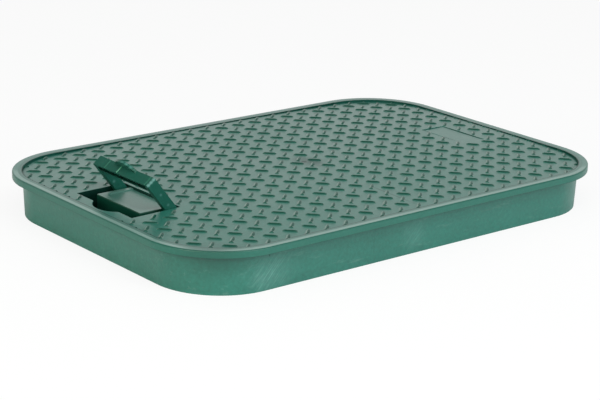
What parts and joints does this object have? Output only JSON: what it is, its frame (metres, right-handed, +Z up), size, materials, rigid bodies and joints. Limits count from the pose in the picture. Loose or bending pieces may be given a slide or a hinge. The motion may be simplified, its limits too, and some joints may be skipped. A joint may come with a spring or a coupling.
{
  "type": "valve box lid",
  "caption": "Rectangular moulded valve box lid with rounded corners, a crowned bar-tread top, a drop-in skirt and a folding lift handle in a recessed well.",
  "frame": {"origin": "centre of the skirt's bottom plane", "axes": "+X along the lid's length with the handle near the -X end, +Z up out of the treaded top"},
  "size_m": [0.4206, 0.2922, 0.067],
  "materials": {
    "green_plastic": "moulded, satin",
    "handle_plastic": "moulded, satin"
  },
  "bodies": {
    "lid": {"lid": "green_plastic"},
    "handle": {"lift_handle": "handle_plastic"}
  },
  "joints": [
    {"name": "handle_hinge", "type": "hinge", "parent": "lid", "child": "handle", "pos_m": [-0.1538, 0, 0.032], "axis": [0, 1, 0], "range_deg": [-52.4, 36]}
  ]
}
